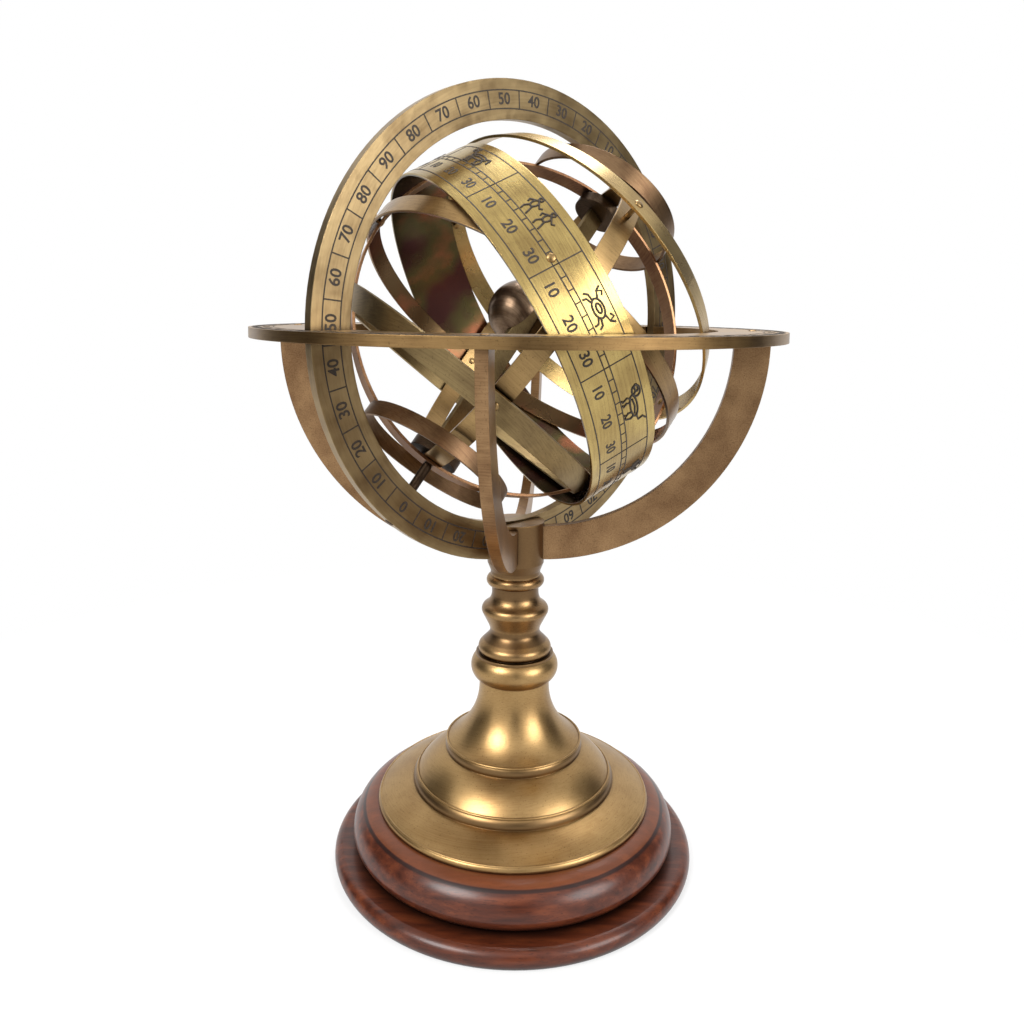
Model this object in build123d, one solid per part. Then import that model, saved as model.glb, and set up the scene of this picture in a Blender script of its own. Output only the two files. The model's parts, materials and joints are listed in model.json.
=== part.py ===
from build123d import *

import os
from dataclasses import dataclass
from math import asin, copysign, cos, radians, sin, sqrt

os.makedirs("parts", exist_ok=True)

# Every length is in millimetres and every angle in degrees.
# The origin is the bottom centre of the stand, +Z is up and the front faces -Y.

# Clearances
NOTCH_CLEARANCE = 0.3  # round the meridian ring in the horizon ring and the hub
JOURNAL_CLEARANCE = 0.05  # round a polar pivot in its bores
ROD_CLEARANCE = 0.2  # round the tie rod in the base, foot and column
SEAT_CLEARANCE = 0.02  # under a polar hoop on the outer colure
GROOVE_CLEARANCE = 0.05  # each side of the axis strip in the ball

# Wooden base
FELT_RADIUS = 49.0
FELT_THICKNESS = 1.4
FELT_PROUD = 0.4
BASE_TOP = 17.05
LOWER_TIER_TOP = 5.0
LOWER_TIER_FOOT_RADIUS = 53.5
LOWER_TIER_RADIUS = 54.1
LOWER_TIER_BULGE_HEIGHT = 2.4
LOWER_TIER_SHOULDER_RADIUS = 51.7
GROOVE_RADIUS = 44.1
UPPER_TIER_RADIUS = 48.55
UPPER_TIER_ROUND = 8.1
NUT_POCKET_RADIUS = 9.0
NUT_POCKET_DEPTH = 7.0

# Brass foot: a spun bell with two domes, a flare and a collar, each height from the one below
BELL_RIM_RADIUS = 40.9
BELL_RIM_HEIGHT = 1.95
BELL_RIM_SET_IN = 0.65  # of its top from its foot
BELL_RIM_ROUND = 1.365
LOWER_DOME_RADIUS = 30.5
LOWER_DOME_TOP = BASE_TOP + 5.45
STEP_RADIUS = 29.1
STEP_ROUND = 2.8
STEP_TOP = LOWER_DOME_TOP + 2.8
UPPER_DOME_RADIUS = 20.65
UPPER_DOME_TOP = STEP_TOP + 6.7
FLARE_FOOT_RADIUS = 20.2
FLARE_FOOT_HEIGHT = UPPER_DOME_TOP + 2.8
FLARE_WAIST_RADIUS = 10.6
FLARE_WAIST_HEIGHT = FLARE_FOOT_HEIGHT + 16.8
COLLAR_RADIUS = 13.2
COLLAR_BOTTOM = FLARE_WAIST_HEIGHT + 1.8
COLLAR_TOP = COLLAR_BOTTOM + 7.5
BELL_WALL = 2.0

# Turned column, each height from the one below
BAND_RADIUS = 11.7
BAND_HEIGHT = 0.8
CUSHION_RADIUS = 11.2
CUSHION_HEIGHT = 3.0
CUSHION_ROUND = 2.1
COLUMN_WAIST_RADIUS = 7.8
COLUMN_WAIST_HEIGHT = COLLAR_TOP + 6.6
VASE_RADIUS = 10.1
VASE_HEIGHT = COLUMN_WAIST_HEIGHT + 7.5
VASE_FOOT_RADIUS = 9.797
VASE_FOOT_DROP = 1.2
VASE_SHOULDER_RADIUS = 9.09
VASE_SHOULDER_RISE = 1.6
COLUMN_NECK_RADIUS = 7.05
COLUMN_NECK_HEIGHT = VASE_HEIGHT + 5.5
COLUMN_TOP = COLUMN_NECK_HEIGHT + 1.8
SPIGOT_RADIUS = 5.0
SPIGOT_LENGTH = 3.0

# Slotted hub, each height from the column's top
HUB_BEAD_RADIUS = 8.7
HUB_BEAD_HEIGHT = 3.3
HUB_NECK_RADIUS = 7.5
HUB_NECK_HEIGHT = COLUMN_TOP + 4.7
HUB_RADIUS = 8.5
HUB_SHOULDER = HUB_NECK_HEIGHT + 2.5
HUB_TOP = HUB_SHOULDER + 12.5
TENON_RADIUS = 5.6  # how near to the axis the arms reach

# Tie rod, nut and washer under the base
ROD_RADIUS = 2.5
ROD_DEPTH_IN_HUB = 5.2
NUT_ACROSS_FLATS = 8.0
NUT_THICKNESS = 4.0
WASHER_RADIUS = 7.5
WASHER_THICKNESS = 1.2

# Meridian ring
MERIDIAN_OUTER = 69.0
MERIDIAN_INNER = MERIDIAN_OUTER - 11.0
MERIDIAN_THICKNESS = 2.92
MERIDIAN_BOTTOM = HUB_SHOULDER + 2.0
MERIDIAN_AZIMUTH = 42.5
MERIDIAN_LEAN = 1.2  # of its top, towards the front
POLE_ELEVATION = 49.0  # of the polar axis, in the ring's plane

# Horizon ring round the meridian ring, its four cradle arms and their pins
HORIZON_OUTER = MERIDIAN_OUTER + 7.2
HORIZON_INNER = MERIDIAN_INNER - 0.6
HORIZON_THICKNESS = 2.74
ARM_NAMES = ("right", "back", "left", "front")
ARM_AZIMUTH = -5.0  # the right arm's, and the others follow in quarter turns
ARM_CENTRE_OFFSET = 6.0
ARM_INSET = 3.9  # from the horizon ring's rim
ARM_OUTER = HORIZON_OUTER - ARM_INSET - ARM_CENTRE_OFFSET
ARM_WIDTH = 10.1
ARM_THICKNESS = 3.0
ARM_BOTTOM = HUB_SHOULDER + 1.23
ARM_PIN_RADIUS = 0.9
ARM_PIN_LENGTH = 7.0

# Polar pivots
TAIL_RADIUS = 0.9  # riveted in the meridian ring
SHOULDER_RADIUS = 1.35
JOURNAL_RADIUS = 1.1
SHOULDER_GAP = 0.3  # between a shoulder and the outer colure

# Pole discs, axis strip and earth ball inside the sphere
DISC_RADIUS = 7.2
DISC_THICKNESS = 3.0
STRIP_WIDTH = 6.0
STRIP_THICKNESS = 1.4
STRIP_TENON = 1.0
PIVOT_END_GAP = 0.4  # between a pivot's end and the strip
BALL_RADIUS = 9.8
BALL_ALONG_AXIS = 4.7
BALL_BEHIND_STRIP = 4.0

# Hoops of the sphere, each shell from the outer colure's
HOOP_THICKNESS = 0.8
COLURE_RADIUS = MERIDIAN_INNER - 7.9
COLURE_NEST_STEP = 0.9  # from the outer colure to the inner one
COLURE_WIDTH = 6.0
COLURE_LONGITUDE = 63.8
ZODIAC_RADIUS = COLURE_RADIUS + 2.8
ZODIAC_WIDTH = 20.2
ZODIAC_OFFSET = -3.3
ZODIAC_TILT = 26.0
ZODIAC_LONGITUDE = 139.0
EQUATOR_RADIUS = COLURE_RADIUS + 1.6
EQUATOR_WIDTH = 5.5
EQUATOR_OFFSET = -2.7
EQUATOR_TILT = 3.0
EQUATOR_LONGITUDE = 93.0
CANCER_RADIUS = COLURE_RADIUS + 4.1
CANCER_LATITUDE = 23.5
CANCER_WIDTH = 6.0
CANCER_TILT = 14.2
CANCER_LONGITUDE = 164.0
CAPRICORN_RADIUS = COLURE_RADIUS + 1.0
CAPRICORN_LATITUDE = -30.2
CAPRICORN_WIDTH = 7.0
CAPRICORN_TILT = 16.6
CAPRICORN_LONGITUDE = 74.0
ARCTIC_RADIUS = 24.5
ARCTIC_WIDTH = 5.6
ANTARCTIC_RADIUS = 22.5
ANTARCTIC_WIDTH = 4.4
RIVET_RADIUS = 0.8

# Heights and radii that follow from the sizes above
HORIZON_UNDERSIDE = ARM_BOTTOM + ARM_OUTER
HORIZON_TOP = HORIZON_UNDERSIDE + HORIZON_THICKNESS
NUT_POCKET_TOP = FELT_PROUD + NUT_POCKET_DEPTH
WASHER_BOTTOM = NUT_POCKET_TOP - WASHER_THICKNESS
NUT_BOTTOM = WASHER_BOTTOM - NUT_THICKNESS
ROD_BOTTOM = (NUT_BOTTOM + FELT_THICKNESS) / 2
ROD_TOP = COLUMN_TOP + ROD_DEPTH_IN_HUB
ROD_BORE_RADIUS = ROD_RADIUS + ROD_CLEARANCE
COLURE_INNER_FACE = COLURE_RADIUS - COLURE_NEST_STEP - HOOP_THICKNESS
DISC_OUTER_FACE = sqrt(COLURE_INNER_FACE**2 - DISC_RADIUS**2)
DISC_INNER_FACE = DISC_OUTER_FACE - DISC_THICKNESS
STRIP_END = DISC_INNER_FACE + STRIP_TENON
PIVOT_END = STRIP_END + PIVOT_END_GAP


def unit(azimuth):
    """A level direction at this azimuth."""
    return Vector(cos(radians(azimuth)), sin(radians(azimuth)), 0)


def at(radius, height):
    """A point of a turned profile, drawn flat as radius and height."""
    return Vector(radius, height)


def turned(*edges):
    """A solid turned about the Z axis from a closed profile."""
    return revolve(Plane.XZ * make_face(list(edges)), Axis.Z)


def upright_rod(radius, bottom, top):
    """A round bar on the Z axis between two heights."""
    return Pos(0, 0, bottom) * extrude(Circle(radius), top - bottom)


# Frames of the tilted parts
MERIDIAN_UP = Vector(0, 0, 1) * cos(radians(MERIDIAN_LEAN)) + unit(MERIDIAN_AZIMUTH - 90) * sin(
    radians(MERIDIAN_LEAN)
)
MERIDIAN_RIGHT = unit(MERIDIAN_AZIMUTH)
SPHERE_CENTRE = Vector(0, 0, MERIDIAN_BOTTOM) + MERIDIAN_UP * MERIDIAN_OUTER
MERIDIAN_PLANE = Plane(SPHERE_CENTRE, x_dir=MERIDIAN_RIGHT, z_dir=MERIDIAN_RIGHT.cross(MERIDIAN_UP))
POLE = MERIDIAN_RIGHT * cos(radians(POLE_ELEVATION)) + MERIDIAN_UP * sin(radians(POLE_ELEVATION))
ABOVE_POLE = MERIDIAN_UP * cos(radians(POLE_ELEVATION)) - MERIDIAN_RIGHT * sin(radians(POLE_ELEVATION))
POLAR_PLANE = Plane(SPHERE_CENTRE, x_dir=ABOVE_POLE, z_dir=POLE)


def leaning_axis(tilt, longitude):
    """The direction that leans by tilt from the pole, towards a longitude of the sphere."""
    sideways = POLAR_PLANE.x_dir * cos(radians(longitude)) + POLAR_PLANE.y_dir * sin(radians(longitude))
    return POLE * cos(radians(tilt)) + sideways * sin(radians(tilt))


@dataclass
class Hoop:
    """A ring of the sphere, bent round its own axis."""

    axis: Vector
    outer: float  # radius of its outer face, or its distance from the centre if it leans
    width: float
    offset: float = 0  # of its middle along its axis, where it is a plain cylinder
    latitude: float = 0  # where it leans to follow the sphere

    def frame(self):
        """A plane through the sphere's centre, square to the hoop's axis."""
        return Plane(SPHERE_CENTRE, x_dir=self.axis.cross(Vector(0, 0, 1)), z_dir=self.axis)

    def height(self):
        """The height of its middle along its axis, as a share of its distance from the centre."""
        return sin(radians(self.latitude)) if self.latitude else self.offset / self.reach()

    def reach(self):
        """How far from the centre the middle of its outer face lies."""
        return self.outer if self.latitude else sqrt(self.outer**2 + self.offset**2)

    def shape(self):
        """A strip of one thickness, turned round the axis."""
        outward = at(cos(radians(self.latitude)), sin(radians(self.latitude)))
        across = at(-outward.Y, outward.X)
        inner = self.outer - HOOP_THICKNESS
        low = self.offset - self.width / 2
        high = self.offset + self.width / 2
        corners = [
            outward * radius + across * side
            for radius, side in ((inner, low), (self.outer, low), (self.outer, high), (inner, high))
        ]
        return self.frame().location * turned(Polyline(*corners, close=True))


def crossings(first, second):
    """The two directions from the sphere's centre in which two hoops cross."""
    cosine = first.axis.dot(second.axis)
    square = 1 - cosine**2
    along_first = (first.height() - second.height() * cosine) / square
    along_second = (second.height() - first.height() * cosine) / square
    middle = first.axis * along_first + second.axis * along_second
    aside = first.axis.cross(second.axis).normalized() * sqrt(1 - middle.length**2)
    return [middle + aside, middle - aside]


def nearest_approach(first, second):
    """The direction in which a tropic comes nearest to the middle of another hoop."""
    lift = (second.axis - first.axis * first.axis.dot(second.axis)).normalized()
    latitude = asin(first.height())
    return first.axis * sin(latitude) - lift * copysign(cos(latitude), latitude)


def rivet(direction, inner, outer):
    """A plain rivet shank that stands on a radius of the sphere."""
    seat = Plane(SPHERE_CENTRE + direction * inner, z_dir=direction)
    return extrude(seat * Circle(RIVET_RADIUS), outer - inner)


def make_base():
    """The two-tier wooden base, its felt, and the tie rod's nut and washer under it."""
    groove_top = at(GROOVE_RADIUS, LOWER_TIER_TOP)
    round_centre = BASE_TOP - UPPER_TIER_ROUND
    round_start = at(UPPER_TIER_RADIUS, round_centre)
    round_end = at(UPPER_TIER_RADIUS - UPPER_TIER_ROUND, BASE_TOP)
    undercut = (UPPER_TIER_RADIUS - GROOVE_RADIUS) * sin(radians(45))
    undercut_drop = (round_centre - LOWER_TIER_TOP) * (1 - cos(radians(45)))
    foot = at(LOWER_TIER_FOOT_RADIUS, FELT_PROUD)
    shoulder = at(LOWER_TIER_SHOULDER_RADIUS, LOWER_TIER_TOP)
    wood = turned(
        Polyline(at(0, BASE_TOP), at(0, FELT_PROUD), foot),
        ThreePointArc(foot, at(LOWER_TIER_RADIUS, LOWER_TIER_BULGE_HEIGHT), shoulder),
        Line(shoulder, groove_top),
        ThreePointArc(
            groove_top,
            at(GROOVE_RADIUS + undercut, LOWER_TIER_TOP + undercut_drop),
            round_start,
        ),
        RadiusArc(round_start, round_end, -UPPER_TIER_ROUND),
        Line(round_end, at(0, BASE_TOP)),
    )
    wood -= upright_rod(ROD_BORE_RADIUS, 0, BASE_TOP)
    wood -= upright_rod(NUT_POCKET_RADIUS, 0, NUT_POCKET_TOP)
    felt = upright_rod(FELT_RADIUS, 0, FELT_THICKNESS)
    washer = upright_rod(WASHER_RADIUS, WASHER_BOTTOM, NUT_POCKET_TOP)
    nut_outline = RegularPolygon(NUT_ACROSS_FLATS / 2, 6, major_radius=False)
    nut = Pos(0, 0, NUT_BOTTOM) * extrude(nut_outline, NUT_THICKNESS)
    rod = upright_rod(ROD_RADIUS, ROD_BOTTOM, ROD_TOP)
    return {
        "base_felt": felt,
        "wood_base": wood - felt,
        "base_washer": washer - upright_rod(ROD_BORE_RADIUS, WASHER_BOTTOM, NUT_POCKET_TOP),
        "base_nut": nut - rod,
        "tie_rod": rod,
    }


def bell_outline():
    """The outside of the foot's bell, from its rim up to its waist."""
    rim = at(BELL_RIM_RADIUS, BASE_TOP)
    rim_top = at(BELL_RIM_RADIUS - BELL_RIM_SET_IN, BASE_TOP + BELL_RIM_HEIGHT)
    lower_top = at(LOWER_DOME_RADIUS, LOWER_DOME_TOP)
    step_top = at(STEP_RADIUS, STEP_TOP)
    upper_top = at(UPPER_DOME_RADIUS, UPPER_DOME_TOP)
    flare_foot = at(FLARE_FOOT_RADIUS, FLARE_FOOT_HEIGHT)
    waist = at(FLARE_WAIST_RADIUS, FLARE_WAIST_HEIGHT)
    return [
        RadiusArc(rim, rim_top, -BELL_RIM_ROUND),
        RadiusArc(rim_top, lower_top, -LOWER_DOME_RADIUS),
        RadiusArc(lower_top, step_top, -STEP_ROUND),
        RadiusArc(step_top, upper_top, -UPPER_DOME_RADIUS),
        RadiusArc(upper_top, flare_foot, -(FLARE_FOOT_HEIGHT - UPPER_DOME_TOP)),
        RadiusArc(flare_foot, waist, FLARE_WAIST_HEIGHT - UPPER_DOME_TOP),
    ]


def make_foot():
    """The brass bell: two stepped domes, a flare and a rounded collar, hollow underneath."""
    outline = bell_outline()
    waist = outline[-1] @ 1
    neck = at(FLARE_WAIST_RADIUS, COLLAR_BOTTOM)
    lip = at(BAND_RADIUS, COLLAR_TOP)
    bulge = at(COLLAR_RADIUS, (COLLAR_BOTTOM + COLLAR_TOP) / 2)
    bell = turned(
        *outline,
        Line(waist, neck),
        ThreePointArc(neck, bulge, lip),
        Polyline(lip, at(0, COLLAR_TOP), at(0, BASE_TOP), outline[0] @ 0),
    )
    bell -= make_foot_hollow(outline)
    bell -= upright_rod(ROD_BORE_RADIUS, BASE_TOP, COLLAR_TOP)
    return bell - upright_rod(SPIGOT_RADIUS, COLLAR_TOP - SPIGOT_LENGTH, COLLAR_TOP)


def make_foot_hollow(outline):
    """The space under the bell: its outside moved in and down by the wall, up to the flare."""
    inward = Pos(-BELL_WALL, -BELL_WALL)
    inside = [inward * edge for edge in outline]
    crown = inside[-1] @ 1
    mouth = at(BELL_RIM_RADIUS - BELL_WALL, BASE_TOP - BELL_WALL)
    return turned(*inside, Polyline(crown, at(0, crown.Y), at(0, mouth.Y), mouth))


def make_column():
    """The turned column: band, cushion, waist, vase and neck, with a spigot at its foot."""
    band_top = COLLAR_TOP + BAND_HEIGHT
    cushion_foot = at(CUSHION_RADIUS - BAND_HEIGHT, band_top)
    cushion_top = at(CUSHION_RADIUS - BAND_HEIGHT, band_top + CUSHION_HEIGHT)
    waist_foot = at(CUSHION_RADIUS - 2 * BAND_HEIGHT, cushion_top.Y + BAND_HEIGHT)
    waist = at(COLUMN_WAIST_RADIUS, COLUMN_WAIST_HEIGHT)
    vase_foot = at(VASE_FOOT_RADIUS, VASE_HEIGHT - VASE_FOOT_DROP)
    vase_top = at(VASE_SHOULDER_RADIUS, VASE_HEIGHT + VASE_SHOULDER_RISE)
    neck = at(COLUMN_NECK_RADIUS, COLUMN_NECK_HEIGHT)
    column = turned(
        Polyline(at(0, COLLAR_TOP), at(BAND_RADIUS, COLLAR_TOP), at(BAND_RADIUS, band_top), cushion_foot),
        RadiusArc(cushion_foot, cushion_top, -CUSHION_ROUND),
        Line(cushion_top, waist_foot),
        Spline(waist_foot, waist, vase_foot, tangents=[at(-1, 1), at(1, 2)]),
        ThreePointArc(vase_foot, at(VASE_RADIUS, VASE_HEIGHT), vase_top),
        Spline(vase_top, neck, tangents=[at(-1, 0.6), at(0, 1)]),
        Polyline(neck, at(COLUMN_NECK_RADIUS, COLUMN_TOP), at(0, COLUMN_TOP), at(0, COLLAR_TOP)),
    )
    column += upright_rod(SPIGOT_RADIUS, COLLAR_TOP - SPIGOT_LENGTH, COLLAR_TOP)
    column -= upright_rod(SPIGOT_RADIUS, COLUMN_TOP - SPIGOT_LENGTH, COLUMN_TOP)
    return column - upright_rod(ROD_BORE_RADIUS, COLLAR_TOP - SPIGOT_LENGTH, COLUMN_TOP)


def meridian_way():
    """The slot that the turning meridian ring needs, a disc a little larger than the ring."""
    thickness = MERIDIAN_THICKNESS + 2 * NOTCH_CLEARANCE
    disc = Circle(MERIDIAN_OUTER + NOTCH_CLEARANCE)
    return extrude(MERIDIAN_PLANE.offset(-thickness / 2) * disc, thickness)


def make_arms():
    """Four quarter rings that rise from the hub to the underside of the horizon ring."""
    centre = Pos(ARM_CENTRE_OFFSET, HORIZON_UNDERSIDE)
    quarter = Pos(ARM_CENTRE_OFFSET, HORIZON_UNDERSIDE) * Rectangle(
        ARM_OUTER, ARM_OUTER, align=(Align.MIN, Align.MAX)
    )
    band = (centre * (Circle(ARM_OUTER) - Circle(ARM_OUTER - ARM_WIDTH))) & quarter
    tenon = Pos(TENON_RADIUS, HORIZON_UNDERSIDE - ARM_OUTER) * Rectangle(
        ARM_CENTRE_OFFSET - TENON_RADIUS, ARM_WIDTH, align=(Align.MIN, Align.MIN)
    )
    arm = extrude(Plane.XZ.offset(-ARM_THICKNESS / 2) * (band + tenon), ARM_THICKNESS)
    return {
        "cradle_arm_" + name: Rot(0, 0, ARM_AZIMUTH + 90 * quarter_turns) * arm
        for quarter_turns, name in enumerate(ARM_NAMES)
    }


def make_arm_pins():
    """One pin for each arm, down through the horizon ring into the arm's end."""
    pin_centre = ARM_CENTRE_OFFSET + ARM_OUTER - ARM_WIDTH / 2
    pin = upright_rod(ARM_PIN_RADIUS, HORIZON_TOP - ARM_PIN_LENGTH, HORIZON_TOP)
    return [
        Rot(0, 0, ARM_AZIMUTH + 90 * quarter_turns) * (Pos(pin_centre, 0, 0) * pin)
        for quarter_turns in range(len(ARM_NAMES))
    ]


def make_hub(arms):
    """The hub: a bead and a neck under a drum that is slotted and mortised for ring and arms."""
    bead_bottom = at(HUB_NECK_RADIUS, COLUMN_TOP)
    bead_top = at(HUB_NECK_RADIUS, COLUMN_TOP + HUB_BEAD_HEIGHT)
    bead_middle = at(HUB_BEAD_RADIUS, COLUMN_TOP + HUB_BEAD_HEIGHT / 2)
    hub = turned(
        Line(at(0, COLUMN_TOP), bead_bottom),
        ThreePointArc(bead_bottom, bead_middle, bead_top),
        Polyline(
            bead_top,
            at(HUB_NECK_RADIUS, HUB_NECK_HEIGHT),
            at(HUB_RADIUS, HUB_SHOULDER),
            at(HUB_RADIUS, HUB_TOP),
            at(0, HUB_TOP),
            at(0, COLUMN_TOP),
        ),
    )
    hub += upright_rod(SPIGOT_RADIUS, COLUMN_TOP - SPIGOT_LENGTH, COLUMN_TOP)
    hub -= upright_rod(ROD_RADIUS, COLUMN_TOP - SPIGOT_LENGTH, ROD_TOP)
    hub -= meridian_way()
    for arm in arms.values():
        hub -= arm
    return hub


def make_cradle():
    """The hub, the four arms, the horizon ring with its two notches, and the arms' pins."""
    arms = make_arms()
    ring = Circle(HORIZON_OUTER) - Circle(HORIZON_INNER)
    horizon = Pos(0, 0, HORIZON_UNDERSIDE) * extrude(ring, HORIZON_THICKNESS)
    horizon -= meridian_way()
    hub = make_hub(arms)
    pins = make_arm_pins()
    for pin, name in zip(pins, arms):
        horizon -= pin
        arms[name] -= pin
    return {"hub": hub, "horizon_ring": horizon, "arm_pins": Compound(children=pins), **arms}


def polar_turning(*edges, south=False):
    """A turned piece on the polar axis, with its profile's height measured from the centre."""
    piece = turned(*edges)
    return POLAR_PLANE.location * (Rot(180, 0, 0) * piece if south else piece)


def make_pivot(south):
    """A stepped pivot: tail in the meridian ring, shoulder, and journal in the sphere."""
    tail_end = sqrt(MERIDIAN_OUTER**2 - TAIL_RADIUS**2)
    shoulder_end = sqrt(MERIDIAN_INNER**2 - SHOULDER_RADIUS**2)
    shoulder_start = COLURE_RADIUS + SHOULDER_GAP
    outline = Polyline(
        at(0, PIVOT_END),
        at(JOURNAL_RADIUS, PIVOT_END),
        at(JOURNAL_RADIUS, shoulder_start),
        at(SHOULDER_RADIUS, shoulder_start),
        at(SHOULDER_RADIUS, shoulder_end),
        at(TAIL_RADIUS, shoulder_end),
        at(TAIL_RADIUS, tail_end),
        at(0, tail_end),
        close=True,
    )
    return polar_turning(outline, south=south)


def make_meridian():
    """The graduated meridian ring and the two pivots that are riveted in it."""
    north = make_pivot(south=False)
    south = make_pivot(south=True)
    band = Circle(MERIDIAN_OUTER) - Circle(MERIDIAN_INNER)
    ring = extrude(MERIDIAN_PLANE.offset(-MERIDIAN_THICKNESS / 2) * band, MERIDIAN_THICKNESS)
    return {"meridian_ring": ring - north - south, "north_pivot": north, "south_pivot": south}


def journal_bore():
    """The bore along the polar axis that runs on both journals."""
    reach = COLURE_RADIUS + SHOULDER_GAP
    radius = JOURNAL_RADIUS + JOURNAL_CLEARANCE
    ends = (at(0, PIVOT_END - PIVOT_END_GAP / 2), at(radius, PIVOT_END - PIVOT_END_GAP / 2))
    outline = Polyline(*ends, at(radius, reach), at(0, reach), close=True)
    return [polar_turning(outline, south=south) for south in (False, True)]


def make_axis_pieces():
    """The flat axis strip, the pole discs that hold its ends, and the slotted earth ball."""
    strip = POLAR_PLANE.location * Box(STRIP_WIDTH, STRIP_THICKNESS, 2 * STRIP_END)
    disc_outline = Polyline(
        at(0, DISC_INNER_FACE),
        at(DISC_RADIUS, DISC_INNER_FACE),
        at(DISC_RADIUS, DISC_OUTER_FACE),
        at(0, DISC_OUTER_FACE),
        close=True,
    )
    discs = [polar_turning(disc_outline, south=south) - strip for south in (False, True)]
    ball_place = Pos(0, -BALL_BEHIND_STRIP, BALL_ALONG_AXIS)
    slot_depth = BALL_BEHIND_STRIP + BALL_RADIUS
    slot = Pos(0, -STRIP_THICKNESS / 2, 0) * Box(
        STRIP_WIDTH + 2 * GROOVE_CLEARANCE,
        slot_depth,
        4 * BALL_RADIUS,
        align=(Align.CENTER, Align.MIN, Align.CENTER),
    )
    ball = POLAR_PLANE.location * (ball_place * Sphere(BALL_RADIUS) - slot)
    return {
        "axis_strip": strip,
        "north_pole_disc": discs[0],
        "south_pole_disc": discs[1],
        "earth_ball": ball,
    }


def polar_hoop(radius, width, south):
    """A small hoop about the pole that stands on the outer colure."""
    inner = radius - HOOP_THICKNESS
    seat = sqrt(COLURE_RADIUS**2 - inner**2 + (COLURE_WIDTH / 2) ** 2) + SEAT_CLEARANCE
    offset = seat + width / 2
    return Hoop(POLE, radius, width, offset=-offset if south else offset)


def make_hoops():
    """The nested hoops, from the zodiac band on the outside to the inner colure."""
    zodiac_axis = leaning_axis(ZODIAC_TILT, ZODIAC_LONGITUDE)
    cancer_axis = leaning_axis(CANCER_TILT, CANCER_LONGITUDE)
    capricorn_axis = leaning_axis(CAPRICORN_TILT, CAPRICORN_LONGITUDE)
    equator_axis = leaning_axis(EQUATOR_TILT, EQUATOR_LONGITUDE)
    outer_colure_axis = leaning_axis(90, COLURE_LONGITUDE)
    inner_colure_axis = leaning_axis(90, COLURE_LONGITUDE + 90)
    return {
        "zodiac_band": Hoop(zodiac_axis, ZODIAC_RADIUS, ZODIAC_WIDTH, offset=ZODIAC_OFFSET),
        "equator_ring": Hoop(equator_axis, EQUATOR_RADIUS, EQUATOR_WIDTH, offset=EQUATOR_OFFSET),
        "cancer_ring": Hoop(cancer_axis, CANCER_RADIUS, CANCER_WIDTH, latitude=CANCER_LATITUDE),
        "capricorn_ring": Hoop(
            capricorn_axis, CAPRICORN_RADIUS, CAPRICORN_WIDTH, latitude=CAPRICORN_LATITUDE
        ),
        "outer_colure": Hoop(outer_colure_axis, COLURE_RADIUS, COLURE_WIDTH),
        "inner_colure": Hoop(inner_colure_axis, COLURE_RADIUS - COLURE_NEST_STEP, COLURE_WIDTH),
        "arctic_ring": polar_hoop(ARCTIC_RADIUS, ARCTIC_WIDTH, south=False),
        "antarctic_ring": polar_hoop(ANTARCTIC_RADIUS, ANTARCTIC_WIDTH, south=True),
    }


RIVETED = (
    ("outer_colure", "equator_ring"),
    ("inner_colure", "equator_ring"),
    ("outer_colure", "cancer_ring"),
    ("inner_colure", "cancer_ring"),
    ("outer_colure", "capricorn_ring"),
    ("inner_colure", "capricorn_ring"),
    ("equator_ring", "zodiac_band"),
)


def make_rivets(hoops):
    """A rivet at each crossing of two riveted hoops, and one where each tropic meets the band."""
    rivets = []
    for inner_name, outer_name in RIVETED:
        inner, outer = hoops[inner_name], hoops[outer_name]
        for direction in crossings(inner, outer):
            rivets.append(rivet(direction, inner.reach() - HOOP_THICKNESS, outer.reach()))
    band = hoops["zodiac_band"]
    for name in ("cancer_ring", "capricorn_ring"):
        tropic = hoops[name]
        inner, outer = sorted((band, tropic), key=Hoop.reach)
        meeting = nearest_approach(tropic, band)
        rivets.append(rivet(meeting, inner.outer - HOOP_THICKNESS, outer.reach()))
    return rivets


def make_sphere():
    """The sphere that turns on the polar pivots."""
    hoops = make_hoops()
    rivets = make_rivets(hoops)
    shapes = {name: hoop.shape() for name, hoop in hoops.items()}
    for name in shapes:
        for shank in rivets:
            shapes[name] -= shank
    shapes.update(make_axis_pieces())
    for name in ("outer_colure", "inner_colure", "north_pole_disc", "south_pole_disc"):
        for bore in journal_bore():
            shapes[name] -= bore
    shapes["hoop_rivets"] = Compound(children=rivets)
    return shapes


def make_model():
    """Every piece of the armillary sphere by its name."""
    return {
        **make_base(),
        "bell_foot": make_foot(),
        "column": make_column(),
        **make_cradle(),
        **make_meridian(),
        **make_sphere(),
    }


for node, shape in make_model().items():
    export_step(shape, "parts/" + node + ".step")
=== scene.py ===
import json
from math import cos, pi, radians, sin

import bmesh
import bpy
from mathutils import Matrix, Vector


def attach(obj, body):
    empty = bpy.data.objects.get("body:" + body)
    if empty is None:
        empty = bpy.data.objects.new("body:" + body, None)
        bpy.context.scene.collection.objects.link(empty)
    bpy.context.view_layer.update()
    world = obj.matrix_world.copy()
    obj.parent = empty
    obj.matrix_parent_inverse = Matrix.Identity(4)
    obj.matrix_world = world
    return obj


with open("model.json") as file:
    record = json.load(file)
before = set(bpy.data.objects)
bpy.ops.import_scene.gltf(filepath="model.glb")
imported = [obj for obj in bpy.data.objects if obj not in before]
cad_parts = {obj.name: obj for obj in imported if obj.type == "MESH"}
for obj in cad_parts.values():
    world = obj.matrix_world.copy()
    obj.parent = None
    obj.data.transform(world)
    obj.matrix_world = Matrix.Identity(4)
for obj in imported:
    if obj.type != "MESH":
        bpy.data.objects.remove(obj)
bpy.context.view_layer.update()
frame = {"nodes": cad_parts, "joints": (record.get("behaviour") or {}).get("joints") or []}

MM = 0.001
UP = Vector((0, 0, 1))

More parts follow.
